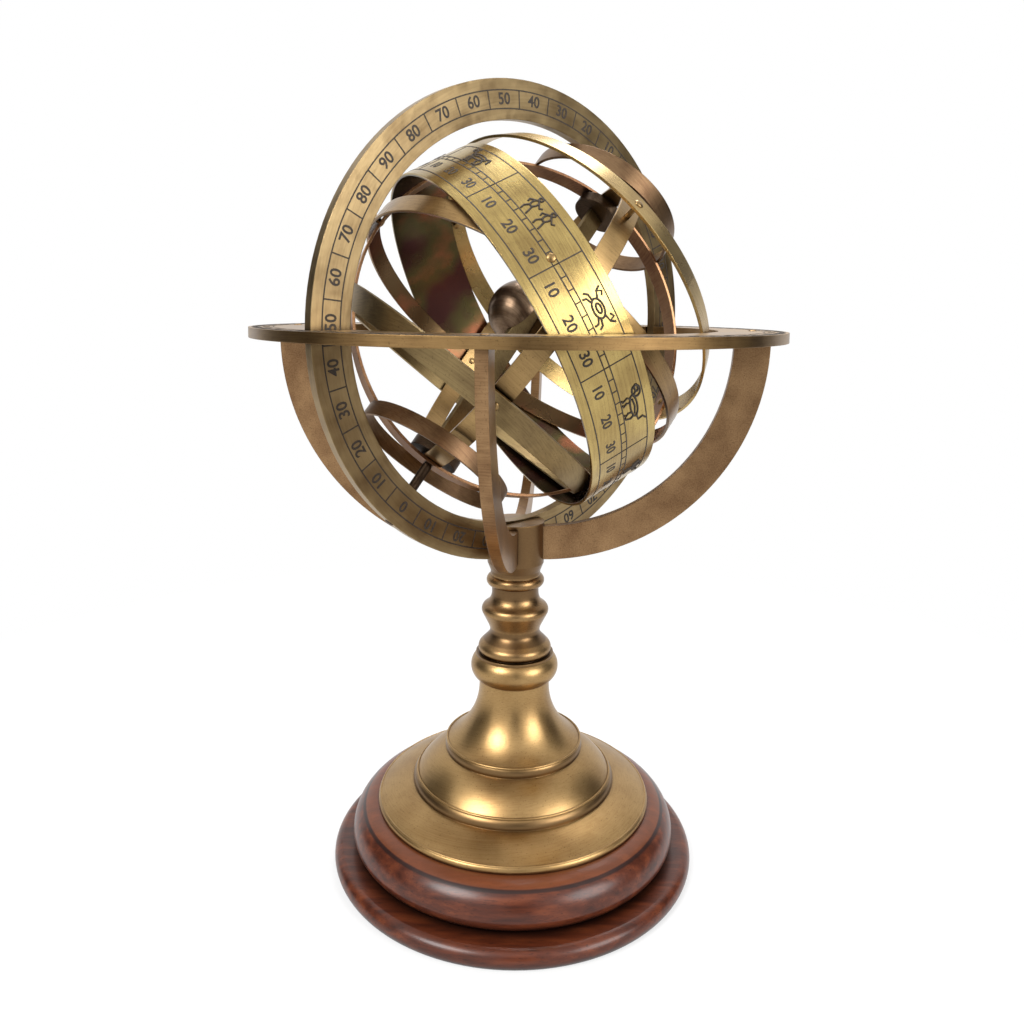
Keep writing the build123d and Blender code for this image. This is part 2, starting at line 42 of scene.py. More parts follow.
# Axes of the turning parts, from the frame's joints
JOINTS = {joint["name"]: joint for joint in frame["joints"]}
CENTRE = Vector(JOINTS["meridian_turn"]["pos_m"])
NORMAL = Vector(JOINTS["meridian_turn"]["axis"]).normalized()
POLE = Vector(JOINTS["sphere_spin"]["axis"]).normalized()
RING_RIGHT = UP.cross(NORMAL).normalized()
RING_UP = NORMAL.cross(RING_RIGHT)
ABOVE_POLE = NORMAL.cross(POLE)

# Sizes of the pieces that carry marks or heads, in millimetres and degrees, as in the model
RING_HALF_THICKNESS = 1.46
RING_OUTER = 69.0
HORIZON_TOP = 159.77
ZODIAC_RADIUS = 52.9
ZODIAC_OFFSET = -3.3
ZODIAC_WIDTH = 20.2
ZODIAC_TILT = 26.0
ZODIAC_LONGITUDE = 139.0


def axis_frame(axis):
    """A frame at the sphere's centre with its Z along the axis."""
    side = axis.cross(UP).normalized()
    turn = Matrix((side, axis.cross(side), axis)).transposed().to_4x4()
    return Matrix.Translation(CENTRE) @ turn


def leaning_axis(tilt, longitude):
    """The direction that leans by tilt from the pole, towards a longitude of the sphere."""
    sideways = ABOVE_POLE * cos(radians(longitude)) + POLE.cross(ABOVE_POLE) * sin(radians(longitude))
    return POLE * cos(radians(tilt)) + sideways * sin(radians(tilt))


STAND = Matrix.Identity(4)
MERIDIAN = axis_frame(NORMAL)
SPHERE = axis_frame(POLE)
ZODIAC = axis_frame(leaning_axis(ZODIAC_TILT, ZODIAC_LONGITUDE))

# Colours
BLACK = (0, 0, 0)
WHITE = (1, 1, 1)
# The soots colour dark specks of dirt and also the painted shade in crevices
SOOT_AND_SHADE = (0.035, 0.02, 0.011)
DARK_SOOT_AND_SHADE = (0.01, 0.007, 0.005)
DEEP_BROWN = (0.13, 0.075, 0.035)
DULL = (0.12, 0.075, 0.035)
OLIVE = (0.085, 0.07, 0.028)
PURPLE = (0.075, 0.03, 0.026)
COPPER = (0.24, 0.09, 0.045)
HEATED = (PURPLE, OLIVE, COPPER)
BROWNED = (DULL, DEEP_BROWN, COPPER)
DARK_WOOD = (0.02, 0.0045, 0.002)
MIDDLE_WOOD = (0.07, 0.015, 0.005)
LIGHT_WOOD = (0.15, 0.036, 0.011)
WARM_WOOD = (0.1, 0.02, 0.006)
WOOD_PORE = (0.018, 0.004, 0.002)
# painted shade for the wood's crevices
WOOD_CREVICE_SHADE = (0.008, 0.003, 0.002)
# A lighter colour for a ring in place of the unmodelled turned step, and painted shade for the line of its
# groove
STEP_RING_WOOD = (0.19, 0.055, 0.016)
GROOVE_SHADE_LINE = (0.012, 0.004, 0.003)
DARK_FELT = (0.008, 0.03, 0.014)
LIGHT_FELT = (0.03, 0.085, 0.04)
DARK_WAX = (0.012, 0.008, 0.005)
LIGHT_WAX = (0.05, 0.032, 0.018)
CARD_BLACK = (0.02, 0.018, 0.016)

# The bright and the deep tone of each metal
TONES = {
    "steel": ((0.5, 0.48, 0.45), (0.3, 0.28, 0.26)),
    "bell_brass": ((0.42, 0.27, 0.115), (0.3, 0.18, 0.072)),
    "turned_brass": ((0.34, 0.21, 0.09), (0.19, 0.11, 0.05)),
    "horizon_brass": ((0.34, 0.21, 0.085), (0.19, 0.11, 0.045)),
    "ring_brass": ((0.36, 0.26, 0.13), (0.21, 0.14, 0.068)),
    "arm_brass": ((0.37, 0.225, 0.11), (0.17, 0.09, 0.043)),
    "hoop_brass": ((0.4, 0.26, 0.11), (0.22, 0.14, 0.06)),
    "equator_brass": ((0.38, 0.24, 0.1), (0.2, 0.12, 0.05)),
    "brown_brass": ((0.22, 0.135, 0.07), (0.1, 0.055, 0.03)),
    "red_brass": ((0.34, 0.19, 0.095), (0.16, 0.075, 0.04)),
    "khaki_brass": ((0.33, 0.24, 0.11), (0.17, 0.115, 0.055)),
    "cancer_brass": ((0.52, 0.37, 0.15), (0.33, 0.22, 0.085)),
    "band_brass": ((0.54, 0.4, 0.15), (0.31, 0.21, 0.08)),
    "dark_brass": ((0.12, 0.08, 0.05), (0.035, 0.022, 0.014)),
    "ball_brass": ((0.24, 0.16, 0.1), (0.07, 0.042, 0.025)),
}

# Scales of the patterns: the higher, the finer
BRUSH_SCALE = 2600.0
PATCH_SCALE = 90.0
SPECK_SCALE = 2400.0
TARNISH_SCALE = 55.0
FILED_SCALE = 1500.0
DENT_SCALE = 420.0
PATINA_SCALE = 130.0
GRAIN_SCALE = 420.0
PORE_SCALE = 2600.0
FIGURE_SCALE = 70.0
GRAIN_STRETCH = (0.16, 1.0, 1.4)
FELT_SCALE = 3200.0
WAX_SCALE = 1800.0

# Where painted parts of a piece begin and end, in millimetres
EQUATOR_SHELL = 51.3  # the hoops are tarnished inside this radius
ZODIAC_SHELL = ZODIAC_RADIUS - 0.4
SHELL_FADE = 0.15
BELL_STEPS = ((22.5, 25.0), (32.0, 34.4))  # heights of the darker bands
COLUMN_BANDS = ((60.9, 61.8), (65.5, 69.5), (79.0, 82.4), (86.0, 102.0))
BAND_DARKNESS = 0.75
BAND_OUTSET = 0.1
BAND_LOWER_FADE = 0.3
BAND_UPPER_FADE = 0.5
# Inner and outer radius, strength and colour of each ring: a lighter ring in place of the turned step, and a
# line of painted shade in place of its groove
STEP_AND_GROOVE_RINGS = ((38.0, 44.9, 0.45, STEP_RING_WOOD), (44.9, 45.7, 0.85, GROOVE_SHADE_LINE))
WOOD_RING_FLOOR = 10.0  # the rings are on the upper tier only

BEVEL_SAMPLES = 4
CREVICE_SAMPLES = 6


# Materials


class Paint:
    """A node material that is put together step by step."""

    def __init__(self, name):
        self.material = bpy.data.materials.new(name)
        self.material.use_nodes = True
        self.tree = self.material.node_tree
        self.shader = self.tree.nodes["Principled BSDF"]

    def add(self, kind, settings=None, **inputs):
        """A new node; inputs are given by socket name with _ for a space, or by _ and a number."""
        node = self.tree.nodes.new("ShaderNode" + kind)
        for key, value in (settings or {}).items():
            setattr(node, key, value)
        for key, value in inputs.items():
            socket = int(key[1:]) if key.startswith("_") else key.replace("_", " ")
            self.join(node.inputs[socket], value)
        return node

    def join(self, socket, value):
        """Links an output to the socket, or sets its plain value."""
        if isinstance(value, bpy.types.NodeSocket):
            self.tree.links.new(value, socket)
        elif socket.type == "RGBA":
            socket.default_value = (*value, 1)
        else:
            socket.default_value = value

    def math(self, operation, *values):
        node = self.add("Math", {"operation": operation})
        for socket, value in zip(node.inputs, values):
            self.join(socket, value)
        return node.outputs[0]

    def apart(self, vector):
        """The three coordinates of a point."""
        return self.add("SeparateXYZ", Vector=vector).outputs

    def length(self, vector):
        return self.add("VectorMath", {"operation": "LENGTH"}, _0=vector).outputs["Value"]

    def place(self, matrix=None):
        """The point on the piece, in the frame of the matrix."""
        point = self.add("TexCoord").outputs["Object"]
        if matrix is None:
            return point
        inverse = matrix.inverted()
        mapping = self.add("Mapping", Vector=point)
        mapping.inputs["Location"].default_value = inverse.translation
        mapping.inputs["Rotation"].default_value = inverse.to_euler()
        return mapping.outputs[0]

    def round_the_axis(self, matrix, along):
        """A point that changes fast across the turning direction and slowly along it."""
        x, y, z = self.apart(self.place(matrix))
        radius = self.math("SQRT", self.math("ADD", self.math("MULTIPLY", x, x), self.math("MULTIPLY", y, y)))
        cosine = self.math("DIVIDE", x, radius)
        sine = self.math("DIVIDE", y, radius)
        first = self.math("ADD", radius, self.math("MULTIPLY", cosine, along))
        second = self.math("ADD", z, self.math("MULTIPLY", sine, along))
        return self.add("CombineXYZ", X=first, Y=second, Z=0.0).outputs[0]

    def rise(self, value, start, end):
        """0 up to the start and 1 from the end on."""
        node = self.add("MapRange", Value=value)
        node.inputs["From Min"].default_value = start
        node.inputs["From Max"].default_value = end
        return node.outputs[0]

    def range(self, factor, low, high):
        """The low value at 0 and the high one at 1."""
        node = self.add("MapRange", Value=factor)
        node.inputs["To Min"].default_value = low
        node.inputs["To Max"].default_value = high
        return node.outputs[0]

    def beyond(self, matrix, radius):
        """1 outside this distance from the frame's axis and 0 inside it."""
        x, y, _ = self.apart(self.place(matrix))
        reach = self.length(self.add("CombineXYZ", X=x, Y=y, Z=0.0).outputs[0])
        return self.rise(reach, (radius - SHELL_FADE) * MM, (radius + SHELL_FADE) * MM)

    def between_heights(self, low, high):
        """The darkness of a band between two heights, and 0 elsewhere."""
        height = self.apart(self.place())[2]
        above_low = self.rise(height, (low - BAND_OUTSET) * MM, (low + BAND_LOWER_FADE) * MM)
        below_high = self.rise(height, (high + BAND_OUTSET) * MM, (high - BAND_UPPER_FADE) * MM)
        return self.math("MULTIPLY", self.math("MINIMUM", above_low, below_high), BAND_DARKNESS)

    def noise(self, vector, scale, detail):
        return self.add("TexNoise", Vector=vector, Scale=scale, Detail=detail).outputs[0]

    def ramp(self, factor, *stops):
        """A colour that runs through the stops."""
        node = self.add("ValToRGB", Fac=factor)
        bar = node.color_ramp.elements
        while len(bar) < len(stops):
            bar.new(0.5)
        for element, (position, colour) in zip(bar, stops):
            element.position = position
            element.color = (*colour, 1.0)
        return node.outputs[0]

    def spots(self, factor, start, end, strength):
        """0 up to the start and the strength from the end on."""
        return self.range(self.ramp(factor, (start, BLACK), (end, WHITE)), 0.0, strength)

    def mix(self, factor, first, second):
        """The first colour at 0 and the second at 1."""
        node = self.add("Mix", {"data_type": "RGBA"})
        for socket, value in zip((node.inputs[0], node.inputs[6], node.inputs[7]), (factor, first, second)):
            self.join(socket, value)
        return node.outputs[2]

    def openness(self, reach, start, end):
        """0 in a crevice and 1 in the open, from ambient occlusion; used to paint shade into crevices and
        between parts.
        """
        air = self.add("AmbientOcclusion", {"samples": CREVICE_SAMPLES}, Distance=reach * MM)
        return self.rise(air.outputs["AO"], start, end)

    def soft_edges(self, radius):
        return self.add("Bevel", {"samples": BEVEL_SAMPLES}, Radius=radius * MM).outputs[0]

    def relief(self, height, strength, depth, **normal):
        """A fine relief, on top of another one if that is given as Normal."""
        return self.add("Bump", Strength=strength, Distance=depth * MM, Height=height, **normal).outputs[0]

    def finish(self, **sockets):
        for key, value in sockets.items():
            self.join(self.shader.inputs[key.replace("_", " ")], value)
        return self.material


def metal(name, matrix, grime_and_shade=SOOT_AND_SHADE, roughness=(0.2, 0.38), shell=None, inside=None, bands=()):
    """Worked metal: fine lines round its axis, uneven tarnish, dark specks of grime, painted shade in its
    crevices and soft edges.

    A hoop may be tarnished inside its shell, and a turned piece may be darker in bands between given heights.
    """
    bright, deep = TONES[name]
    paint = Paint(name)
    brushed = paint.noise(paint.round_the_axis(matrix, 0.004), BRUSH_SCALE, 3.0)
    patches = paint.noise(paint.place(), PATCH_SCALE, 5.0)
    specks = paint.noise(paint.place(), SPECK_SCALE, 2.0)
    tone = paint.ramp(patches, (0.35, deep), (0.62, bright))
    lined = paint.mix(0.35, tone, paint.ramp(brushed, (0.35, deep), (0.6, bright)))
    spotted = paint.mix(paint.spots(specks, 0.63, 0.7, 0.4), lined, grime_and_shade)
    if shell:
        heat = paint.noise(paint.place(), TARNISH_SCALE, 4.0)
        tarnish = paint.ramp(heat, (0.35, inside[0]), (0.5, inside[1]), (0.64, inside[2]))
        spotted = paint.mix(paint.beyond(matrix, shell), tarnish, spotted)
    # Darker bands between the given heights on the turned pieces
    for low, high in bands:
        spotted = paint.mix(paint.between_heights(low, high), spotted, DEEP_BROWN)
    # Painted shade: crevices and gaps between parts are darkened towards the grime colour by ambient
    # occlusion
    return paint.finish(
        Base_Color=paint.mix(paint.openness(3.0, 0.25, 0.8), grime_and_shade, spotted),
        Metallic=1.0,
        Roughness=paint.range(patches, *roughness),
        Normal=paint.relief(brushed, 0.12, 0.05, Normal=paint.soft_edges(0.25)),
    )


def hammered(name, matrix):
    """Cast and filed brass with shallow dents under a brown patina."""
    bright, deep = TONES[name]
    paint = Paint(name)
    dents = paint.add("TexVoronoi", Vector=paint.place(), Scale=DENT_SCALE).outputs["Distance"]
    patches = paint.noise(paint.place(), PATINA_SCALE, 6.0)
    brushed = paint.noise(paint.round_the_axis(matrix, 0.006), FILED_SCALE, 3.0)
    tone = paint.ramp(patches, (0.33, deep), (0.6, bright))
    lined = paint.mix(0.3, tone, paint.ramp(brushed, (0.35, deep), (0.62, bright)))
    dented = paint.relief(dents, 0.18, 0.12, Normal=paint.soft_edges(0.3))
    # Painted shade: crevices and gaps between parts are darkened towards soot by ambient occlusion
    return paint.finish(
        Base_Color=paint.mix(paint.openness(2.5, 0.3, 0.85), SOOT_AND_SHADE, lined),
        Metallic=1.0,
        Roughness=paint.range(patches, 0.26, 0.46),
        Normal=paint.relief(brushed, 0.12, 0.05, Normal=dented),
    )


def varnished_wood():
    """Dark turned wood; on its upper tier a lighter ring stands for the turned step, which is not modelled,
    and a line of painted shade for its groove.
    """
    paint = Paint("wood")
    point = paint.place()
    stretched = paint.add("Mapping", Vector=point)
    stretched.inputs["Scale"].default_value = GRAIN_STRETCH
    grain = paint.noise(stretched.outputs[0], GRAIN_SCALE, 6.0)
    pores = paint.noise(stretched.outputs[0], PORE_SCALE, 3.0)
    figure = paint.noise(stretched.outputs[0], FIGURE_SCALE, 4.0)
    tone = paint.ramp(grain, (0.3, DARK_WOOD), (0.5, MIDDLE_WOOD), (0.72, LIGHT_WOOD))
    warm = paint.mix(paint.range(figure, 0.0, 0.45), tone, WARM_WOOD)
    stained_and_shaded = paint.mix(paint.spots(pores, 0.58, 0.68, 0.6), warm, WOOD_PORE)
    on_top = paint.math("GREATER_THAN", paint.apart(point)[2], WOOD_RING_FLOOR * MM)
    # A lighter ring for the turned step and a line of painted shade for its groove
    for inner, outer, strength, ring_colour in STEP_AND_GROOVE_RINGS:
        ring = paint.math("SUBTRACT", paint.beyond(STAND, inner), paint.beyond(STAND, outer))
        share = paint.math("MULTIPLY", paint.math("MULTIPLY", ring, on_top), strength)
        stained_and_shaded = paint.mix(share, stained_and_shaded, ring_colour)
    # Painted shade: crevices and gaps between parts are darkened by ambient occlusion
    return paint.finish(
        Base_Color=paint.mix(paint.openness(5.0, 0.2, 0.75), WOOD_CREVICE_SHADE, stained_and_shaded),
        Roughness=paint.range(grain, 0.3, 0.42),
        Specular_IOR_Level=0.25,
        Coat_Weight=0.32,
        Coat_Roughness=0.22,
        Normal=paint.relief(pores, 0.1, 0.08, Normal=paint.soft_edges(0.5)),
    )


def felt_cloth():
    paint = Paint("felt")
    fibres = paint.noise(paint.place(), FELT_SCALE, 5.0)
    return paint.finish(
        Base_Color=paint.ramp(fibres, (0.35, DARK_FELT), (0.7, LIGHT_FELT)),
        Roughness=0.95,
        Sheen_Weight=0.4,
        Normal=paint.relief(fibres, 0.6, 0.2),
    )


def filler():
    """The dark wax that fills engraved lines and numbers."""
    paint = Paint("filler")
    grain = paint.noise(paint.place(), WAX_SCALE, 3.0)
    return paint.finish(
        Base_Color=paint.ramp(grain, (0.35, DARK_WAX), (0.7, LIGHT_WAX)),
        Roughness=paint.range(grain, 0.45, 0.7),
    )


MATERIALS = {
    "felt": felt_cloth(),
    "wood": varnished_wood(),
    "steel": metal("steel", STAND),
    "bell_brass": metal("bell_brass", STAND, roughness=(0.3, 0.4), bands=BELL_STEPS),
    "turned_brass": metal("turned_brass", STAND, roughness=(0.26, 0.42), bands=COLUMN_BANDS),
    "horizon_brass": metal("horizon_brass", STAND, roughness=(0.26, 0.42)),
    "ring_brass": hammered("ring_brass", MERIDIAN),
    "arm_brass": metal("arm_brass", STAND, roughness=(0.3, 0.44)),
    "hoop_brass": metal("hoop_brass", SPHERE, roughness=(0.24, 0.42)),
    "equator_brass": metal("equator_brass", SPHERE, shell=EQUATOR_SHELL, inside=BROWNED),
    "brown_brass": metal("brown_brass", SPHERE, roughness=(0.3, 0.46)),
    "red_brass": metal("red_brass", SPHERE, roughness=(0.26, 0.42)),
    "khaki_brass": metal("khaki_brass", SPHERE, roughness=(0.3, 0.48)),
    "cancer_brass": metal("cancer_brass", SPHERE, DEEP_BROWN, (0.2, 0.34)),
    "band_brass": metal("band_brass", ZODIAC, DEEP_BROWN, (0.2, 0.32), ZODIAC_SHELL, HEATED),
    "dark_brass": metal("dark_brass", SPHERE, DARK_SOOT_AND_SHADE, (0.35, 0.55)),
    "ball_brass": metal("ball_brass", SPHERE, roughness=(0.2, 0.36)),
    "filler": filler(),
}

FINISH = {
    "base_felt": "felt",
    "wood_base": "wood",
    "base_washer": "steel",
    "base_nut": "steel",
    "tie_rod": "steel",
    "bell_foot": "bell_brass",
    "column": "turned_brass",
    "hub": "turned_brass",
    "horizon_ring": "horizon_brass",
    "arm_pins": "horizon_brass",
    "cradle_arm_back": "arm_brass",
    "cradle_arm_front": "arm_brass",
    "cradle_arm_left": "arm_brass",
    "cradle_arm_right": "arm_brass",
    "meridian_ring": "ring_brass",
    "north_pivot": "dark_brass",
    "south_pivot": "dark_brass",
    "north_pole_disc": "dark_brass",
    "south_pole_disc": "dark_brass",
    "earth_ball": "ball_brass",
    "axis_strip": "khaki_brass",
    "zodiac_band": "band_brass",
    "cancer_ring": "cancer_brass",
    "equator_ring": "equator_brass",
    "capricorn_ring": "khaki_brass",
    "outer_colure": "red_brass",
    "inner_colure": "hoop_brass",
    "arctic_ring": "brown_brass",
    "antarctic_ring": "brown_brass",
    "hoop_rivets": "hoop_brass",
}

for node, obj in frame["nodes"].items():
    obj.data.materials.clear()
    obj.data.materials.append(MATERIALS[FINISH[node]])


def new_piece(name, mesh, body, material):
    """A piece of the object, made from a mesh, that moves with a body."""
    bmesh.ops.recalc_face_normals(mesh, faces=mesh.faces)
    data = bpy.data.meshes.new(name)
    mesh.to_mesh(data)
    mesh.free()
    data.materials.append(MATERIALS[material])
    piece = bpy.data.objects.new(name, data)
    bpy.context.scene.collection.objects.link(piece)
    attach(piece, body)
    return piece


def smooth(piece):
    for polygon in piece.data.polygons:
        polygon.use_smooth = True


# Surfaces that carry engraving: each maps an angle, a distance across and a height to a point


def ring_face(side):
    """A flat face of the meridian ring; across is the radius."""
    sign = 1 if side == "front" else -1

    def point(angle, across, height):
        spoke = RING_RIGHT * cos(angle) * sign + RING_UP * sin(angle)
        return CENTRE + spoke * across * MM + NORMAL * sign * (RING_HALF_THICKNESS + height) * MM

    return point


def horizon_face(angle, across, height):
    """The top of the horizon ring; across is the radius."""
    return Vector((cos(angle) * across, sin(angle) * across, HORIZON_TOP + height)) * MM


def band_face(angle, across, height):
    """The outside of the zodiac band; across runs along its axis from its middle."""
    reach = (ZODIAC_RADIUS + height) * MM
    return ZODIAC @ Vector((cos(angle) * reach, sin(angle) * reach, (ZODIAC_OFFSET + across) * MM))


INLAY = 0.05  # how far a filled line stands out
SUNK = 0.04  # how far it reaches into the metal
CURVE_STEP = radians(1.5)  # the longest straight step of a curved patch
CIRCLE_STEPS = 240
SAME_POINT = 1e-4  # millimetres between points that are one
NUMBER_WEIGHT = 0.018  # how much bolder a number is, as a share of its size
FIGURE_STRETCH = 1.3  # of a figure's length


class Engraving:
    """Filled lines, numbers and figures on one surface, gathered in one mesh."""

    def __init__(self, surface, reading=-1):
        self.surface = surface
        self.reading = reading  # 1 where the angle grows to the reader's right
        self.mesh = bmesh.new()

    def block(self, start, end, low, high, steps=None):
        """A filled patch between two angles and two distances across."""
        whole = abs(end - start) > 2 * pi - 1e-6
        steps = steps or max(1, round(abs(end - start) / CURVE_STEP))
        corners = ((low, -SUNK), (high, -SUNK), (high, INLAY), (low, INLAY))
        rows = []
        for step in range(steps if whole else steps + 1):
            angle = start + (end - start) * step / steps
            rows.append([self.mesh.verts.new(self.surface(angle, *corner)) for corner in corners])
        for first, second in zip(rows, rows[1:] + rows[:1] if whole else rows[1:]):
            for side in range(4):
                other = (side + 1) % 4
                self.mesh.faces.new((first[side], first[other], second[other], second[side]))
        if not whole:
            self.mesh.faces.new(rows[0][::-1])
            self.mesh.faces.new(rows[-1])

    def circle(self, across, width):
        self.block(0, 2 * pi, across - width / 2, across + width / 2, CIRCLE_STEPS)

    def shape(self, curve, angle, across, radius):
        """A flat drawing in millimetres, laid on the surface."""
        holder = bpy.data.objects.new("drawing", curve)
        bpy.context.scene.collection.objects.link(holder)
        graph = bpy.context.evaluated_depsgraph_get()
        drawn = bpy.data.meshes.new_from_object(holder.evaluated_get(graph))
        piece = bmesh.new()
        piece.from_mesh(drawn)
        bmesh.ops.remove_doubles(piece, verts=piece.verts, dist=SAME_POINT)
        places = {}
        for vert in piece.verts:
            turn = angle + self.reading * vert.co.x / radius
            places[vert.index] = self.mesh.verts.new(self.surface(turn, across + vert.co.y, vert.co.z))
        for face in piece.faces:
            self.mesh.faces.new([places[vert.index] for vert in face.verts])
        piece.free()
        bpy.data.objects.remove(holder)
        bpy.data.meshes.remove(drawn)

    def number(self, value, angle, across, size, radius):
        """A plain number, upright where across grows."""
        curve = bpy.data.curves.new("number", "FONT")
        curve.body = str(value)
        curve.size = size
        curve.align_x = "CENTER"
        curve.align_y = "CENTER"
        curve.extrude = (INLAY + SUNK) / 2
        curve.resolution_u = 3
        curve.offset = size * NUMBER_WEIGHT
        self.shape(curve, angle, across, radius)

    def strokes(self, lines, angle, across, size, radius, weight):
        """A figure drawn with round strokes, two units long and one high."""
        curve = bpy.data.curves.new("figure", "CURVE")
        curve.dimensions = "3D"
        curve.bevel_depth = weight / 2
        curve.bevel_resolution = 1
        curve.use_fill_caps = True
        for points in lines:
            spline = curve.splines.new("POLY")
            spline.points.add(len(points) - 1)
            for point, (x, y) in zip(spline.points, points):
                point.co = ((x - 1) * size * FIGURE_STRETCH, (y - 0.5) * size, 0, 1)
        self.shape(curve, angle, across, radius)

    def finish(self, name, body):
        new_piece(name, self.mesh, body, "filler")


# Meridian scale, on both faces
TENS = 10  # degrees from one number to the next
SCALE_ZERO = 49.0
SCALE_INNER = 60.9
SCALE_OUTER = 65.9
SCALE_MIDDLE = (SCALE_INNER + SCALE_OUTER) / 2
SCALE_LINE = 0.34
SCALE_NUMBER = 4.4
SCALE_HALF_LINE = SCALE_LINE / 2 / SCALE_INNER  # as an angle


def latitude_number(step):
    """0 to 90 and back in tens, as on a meridian scale."""
    return abs((step * TENS + 90) % 180 - 90)


for side in ("front", "back"):
    scale = Engraving(ring_face(side))
    for radius in (SCALE_INNER, SCALE_OUTER):
        scale.circle(radius, SCALE_LINE)
    for step in range(360 // TENS):
        angle = SCALE_ZERO + step * TENS if side == "front" else 180 - SCALE_ZERO - step * TENS
        divider = radians(angle + TENS / 2)
        scale.block(divider - SCALE_HALF_LINE, divider + SCALE_HALF_LINE, SCALE_INNER, SCALE_OUTER)
        scale.number(latitude_number(step), radians(angle), SCALE_MIDDLE, SCALE_NUMBER, SCALE_MIDDLE)
    scale.finish("meridian_scale_" + side, "meridian")


# Horizon scale: a rim of single degrees, and numbers in tens inside it
RIM_OUTER = 75.2
RIM_INNER = 73.2
RIM_MARGIN = 0.3  # from the rim's lines to its degrees
NUMBERS_INNER = 69.6
NUMBERS_MIDDLE = (RIM_INNER + NUMBERS_INNER) / 2
HORIZON_LINE = 0.2
HORIZON_HALF_LINE = 0.0016  # as an angle
HORIZON_NUMBER = 2.6

horizon = Engraving(horizon_face)
for radius in (RIM_OUTER, RIM_INNER, NUMBERS_INNER):
    horizon.circle(radius, HORIZON_LINE)
for degrees in range(0, 360, TENS):
    angle = radians(degrees)
    horizon.block(angle - HORIZON_HALF_LINE, angle + HORIZON_HALF_LINE, NUMBERS_INNER, RIM_OUTER)
    value = min(degrees, 360 - degrees)
    horizon.number(value, angle + radians(TENS / 2), NUMBERS_MIDDLE, HORIZON_NUMBER, NUMBERS_MIDDLE)
    for degree in range(0, TENS, 2):
        start = angle + radians(degree)
        horizon.block(start, start + radians(1), RIM_INNER + RIM_MARGIN, RIM_OUTER - RIM_MARGIN, 1)
horizon.finish("horizon_scale", "stand")


# Figures of the zodiac, two units long and one high, each a list of strokes


def arc(x, y, radius, start, end, steps=12):
    turns = [radians(start + (end - start) * k / steps) for k in range(steps + 1)]
    return [(x + radius * cos(turn), y + radius * sin(turn)) for turn in turns]


def oval(x, y, wide, high, steps=18):
    turns = [2 * pi * k / steps for k in range(steps + 1)]
    return [(x + wide * cos(turn), y + high * sin(turn)) for turn in turns]


def beast(*more, head=True):
    """A walking animal that faces left, with its own horns, mane or tail."""
    legs = [
        [(0.68, 0.44), (0.58, 0.28), (0.66, 0.04), (0.58, 0.02)],
        [(0.82, 0.38), (0.76, 0.2), (0.84, 0.04), (0.76, 0.02)],
        [(1.2, 0.38), (1.16, 0.2), (1.24, 0.04), (1.16, 0.02)],
        [(1.34, 0.46), (1.42, 0.26), (1.36, 0.04), (1.28, 0.02)],
    ]
    back = [oval(1.0, 0.52, 0.42, 0.17), [(0.72, 0.5), (1.0, 0.56), (1.3, 0.5)], [(0.62, 0.6), (0.48, 0.76)]]
    return legs + back + ([oval(0.4, 0.8, 0.13, 0.08)] if head else []) + list(more)


def person(x, *more):
    """A standing figure with its arms a little apart."""
    return [
        oval(x, 0.92, 0.07, 0.08),
        oval(x, 0.6, 0.1, 0.2),
        [(x - 0.06, 0.42), (x - 0.14, 0.2), (x - 0.1, 0.02)],
        [(x + 0.06, 0.42), (x + 0.12, 0.2), (x + 0.16, 0.02)],
        [(x - 0.08, 0.74), (x - 0.24, 0.58), (x - 0.2, 0.46)],
        [(x + 0.08, 0.74), (x + 0.24, 0.6), (x + 0.32, 0.7)],
        *more,
    ]


def fish(x, y, ahead):
    """A small fish that swims ahead or back."""
    tail = x - 0.32 * ahead
    return [
        oval(x, y, 0.3, 0.12),
        [(tail, y), (tail - 0.14 * ahead, y + 0.12), (tail - 0.14 * ahead, y - 0.12), (tail, y)],
        [(x - 0.05, y + 0.12), (x - 0.12 * ahead, y + 0.2)],
    ]


BOTH = (-1, 1)
PANS = (0.45, 1.55)
WAVES = [[(1.0 + 0.1 * k, 0.22 + 0.09 * (k % 2) - row * 0.16) for k in range(8)] for row in (0, 1)]

RAM = beast(arc(0.52, 0.86, 0.11, -60, 250), [(1.42, 0.58), (1.52, 0.46)])
BULL = beast(
    [(0.36, 0.88), (0.24, 0.98)],
    [(0.46, 0.88), (0.56, 1.0)],
    [(1.42, 0.58), (1.58, 0.66), (1.62, 0.36)],
)
TWINS = person(0.68) + person(1.34)
CRAB = (
    [oval(1.0, 0.48, 0.32, 0.24), oval(1.0, 0.5, 0.16, 0.1)]
    + [[(1 + s * 0.3, 0.4), (1 + s * 0.52, 0.34), (1 + s * 0.6, 0.18)] for s in BOTH]
    + [[(1 + s * 0.24, 0.32), (1 + s * 0.42, 0.2), (1 + s * 0.44, 0.04)] for s in BOTH]
    + [[(1 + s * 0.26, 0.62), (1 + s * 0.5, 0.72), (1 + s * 0.42, 0.94), (1 + s * 0.3, 0.84)] for s in BOTH]
    + [[(1 + s * 0.5, 0.72), (1 + s * 0.6, 0.92)] for s in BOTH]
)
LION = beast(oval(0.5, 0.76, 0.2, 0.2), [(1.42, 0.58), (1.62, 0.62), (1.58, 0.86), (1.72, 0.98)])
MAIDEN = person(
    1.0,
    [(1.06, 0.68), (1.5, 0.9), (1.42, 0.62), (1.12, 0.56)],
    [(0.76, 0.46), (0.6, 0.8)],
    [(0.76, 0.46), (0.7, 0.84)],
)
SCALES = (
    [[(0.45, 0.84), (1.55, 0.84)], [(1.0, 0.98), (1.0, 0.1)], [(0.8, 0.06), (1.2, 0.06)]]
    + [[(x - 0.18, 0.4), (x, 0.84), (x + 0.18, 0.4)] for x in PANS]
    + [arc(x, 0.4, 0.18, 180, 360) for x in PANS]
)
